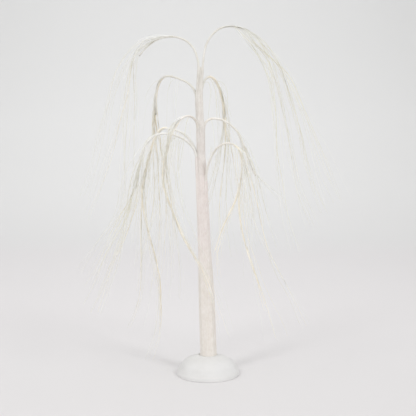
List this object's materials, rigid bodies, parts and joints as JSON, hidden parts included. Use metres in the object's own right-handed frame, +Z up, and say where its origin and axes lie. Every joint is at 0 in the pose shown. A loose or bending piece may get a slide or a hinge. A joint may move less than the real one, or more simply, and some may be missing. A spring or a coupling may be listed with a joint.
{
  "type": "artificial table-top weeping willow tree",
  "caption": "Table-top model of a weeping willow: a taped wire trunk in a round moulded stand, with arching wire boughs and hanging fibre foliage.",
  "frame": {"origin": "centre of the stand's flat underside", "axes": "+Z up along the trunk; -Y is the front, the side that the picture looks at; +X is to the right as seen from the front"},
  "size_m": [0.2112, 0.1272, 0.2972],
  "materials": {
    "moulded_stand": "matte",
    "paper_tape": "matte",
    "fibre": "matte"
  },
  "bodies": {
    "root": {"stand": "moulded_stand", "trunk": "paper_tape", "bough_inner_left_fall": "paper_tape", "bough_inner_left_rise": "paper_tape", "bough_inner_right_fall": "paper_tape", "bough_inner_right_rise": "paper_tape", "bough_lower_back_fall": "paper_tape", "bough_lower_back_rise": "paper_tape", "bough_lower_left_fall": "paper_tape", "bough_lower_left_rise": "paper_tape", "bough_lower_right_fall": "paper_tape", "bough_lower_right_rise": "paper_tape", "bough_middle_left_fall": "paper_tape", "bough_middle_left_rise": "paper_tape", "bough_middle_right_fall": "paper_tape", "bough_middle_right_rise": "paper_tape", "bough_top_left_fall": "paper_tape", "bough_top_left_rise": "paper_tape", "bough_top_right_fall": "paper_tape", "bough_top_right_rise": "paper_tape", "foliage_inner_left_sleeve": "fibre", "foliage_inner_left_tress_1": "fibre", "foliage_inner_left_tress_2": "fibre", "foliage_inner_left_tress_3": "fibre", "foliage_inner_right_sleeve": "fibre", "foliage_inner_right_tress_1": "fibre", "foliage_inner_right_tress_2": "fibre", "foliage_inner_right_tress_3": "fibre", "foliage_lower_back_sleeve": "fibre", "foliage_lower_back_tress_1": "fibre", "foliage_lower_back_tress_2": "fibre", "foliage_lower_back_tress_3": "fibre", "foliage_lower_left_sleeve": "fibre", "foliage_lower_left_tress_1": "fibre", "foliage_lower_left_tress_2": "fibre", "foliage_lower_left_tress_3": "fibre", "foliage_lower_right_sleeve": "fibre", "foliage_lower_right_tress_1": "fibre", "foliage_lower_right_tress_2": "fibre", "foliage_lower_right_tress_3": "fibre", "foliage_middle_left_sleeve": "fibre", "foliage_middle_left_tress_1": "fibre", "foliage_middle_left_tress_2": "fibre", "foliage_middle_left_tress_3": "fibre", "foliage_middle_right_sleeve": "fibre", "foliage_middle_right_tress_1": "fibre", "foliage_middle_right_tress_2": "fibre", "foliage_middle_right_tress_3": "fibre", "foliage_top_left_sleeve": "fibre", "foliage_top_left_tress_1": "fibre", "foliage_top_left_tress_2": "fibre", "foliage_top_left_tress_3": "fibre", "foliage_top_left_tress_4": "fibre", "foliage_top_right_sleeve": "fibre", "foliage_top_right_tress_1": "fibre", "foliage_top_right_tress_2": "fibre", "foliage_top_right_tress_3": "fibre", "foliage_top_right_tress_4": "fibre"}
  },
  "joints": []
}
